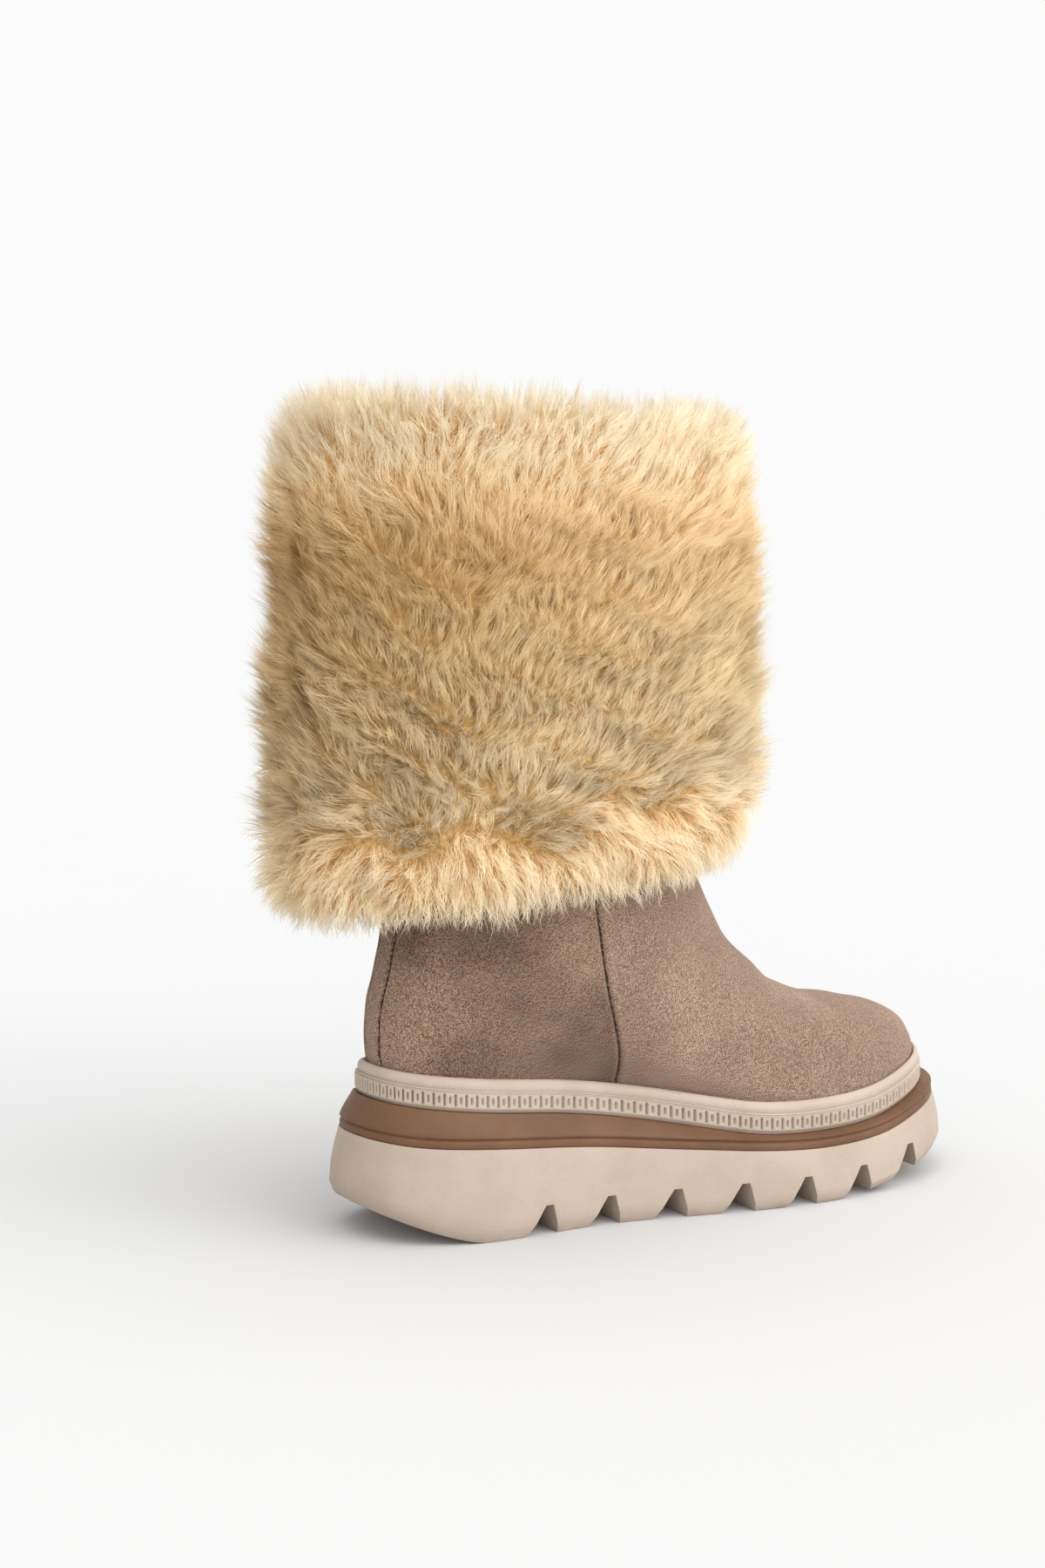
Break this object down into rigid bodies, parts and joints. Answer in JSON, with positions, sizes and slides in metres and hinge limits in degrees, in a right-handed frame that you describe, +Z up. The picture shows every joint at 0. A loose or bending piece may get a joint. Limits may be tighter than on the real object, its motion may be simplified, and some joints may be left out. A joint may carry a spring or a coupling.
{
  "type": "sheepskin boot",
  "caption": "Right-foot pull-on boot: suede upper with its woolly shaft turned down as a deep cuff, on a layered platform sole with a ribbed welt and lugs.",
  "frame": {"origin": "on the floor, under the middle of the heel's flat tread", "axes": "+X to the toe, +Y to the inner side of the foot, +Z up"},
  "size_m": [0.3202, 0.1455, 0.334],
  "materials": {
    "outsole_rubber": "matte cream rubber",
    "midsole_foam": "satin tan rubber",
    "welt_rubber": "satin cream rubber",
    "insole_wool": "short woolly pile",
    "suede": "napped taupe suede",
    "wool": "long ivory wool"
  },
  "bodies": {
    "root": {"outsole": "outsole_rubber", "midsole": "midsole_foam", "welt": "welt_rubber", "insole": "insole_wool", "upper": "suede", "cuff": "wool"}
  },
  "joints": []
}
